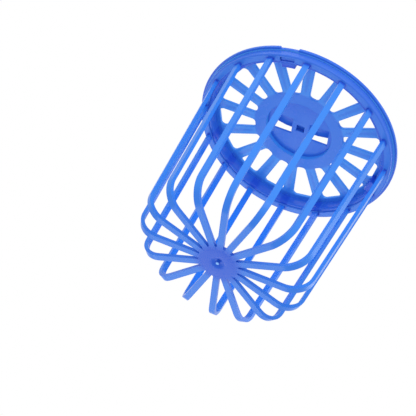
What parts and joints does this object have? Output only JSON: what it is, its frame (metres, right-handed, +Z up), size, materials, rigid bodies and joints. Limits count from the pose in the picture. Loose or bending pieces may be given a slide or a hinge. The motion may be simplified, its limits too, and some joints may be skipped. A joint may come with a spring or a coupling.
{
  "type": "parrot food basket",
  "caption": "Hanging cage-bird food basket: open ribbed cup with a flanged rim, and a slotted lid that twists on and carries a T-shaped hanging bar.",
  "frame": {"origin": "middle of the flat bottom, where the basket stands", "axes": "+Z up to the lid and along the twist axis, X along the arms of the hanging bar"},
  "size_m": [0.1, 0.1, 0.1042],
  "materials": {
    "basket_plastic": "semi-gloss moulded plastic, azure blue",
    "lid_plastic": "semi-gloss moulded plastic, blue"
  },
  "bodies": {
    "basket": {"basket_rim": "basket_plastic", "basket_hub": "basket_plastic", "rib_01": "basket_plastic", "rib_02": "basket_plastic", "rib_03": "basket_plastic", "rib_04": "basket_plastic", "rib_05": "basket_plastic", "rib_06": "basket_plastic", "rib_07": "basket_plastic", "rib_08": "basket_plastic", "rib_09": "basket_plastic", "rib_10": "basket_plastic", "rib_11": "basket_plastic", "rib_12": "basket_plastic", "rib_13": "basket_plastic", "rib_14": "basket_plastic", "rib_15": "basket_plastic", "rib_16": "basket_plastic"},
    "lid": {"lid_rim": "lid_plastic", "lid_hub": "lid_plastic", "hanging_bar": "lid_plastic", "lid_spoke_01": "lid_plastic", "lid_spoke_02": "lid_plastic", "lid_spoke_03": "lid_plastic", "lid_spoke_04": "lid_plastic", "lid_spoke_05": "lid_plastic", "lid_spoke_06": "lid_plastic", "lid_spoke_07": "lid_plastic", "lid_spoke_08": "lid_plastic", "lid_spoke_09": "lid_plastic", "lid_spoke_10": "lid_plastic", "lid_spoke_11": "lid_plastic", "lid_spoke_12": "lid_plastic", "lid_spoke_13": "lid_plastic", "lid_spoke_14": "lid_plastic", "lid_spoke_15": "lid_plastic", "lid_spoke_16": "lid_plastic"}
  },
  "joints": [
    {"name": "lid_twist", "type": "hinge", "parent": "basket", "child": "lid", "pos_m": [0, 0, 0.0934], "axis": [0, 0, 1], "range_deg": [0, 41]}
  ]
}
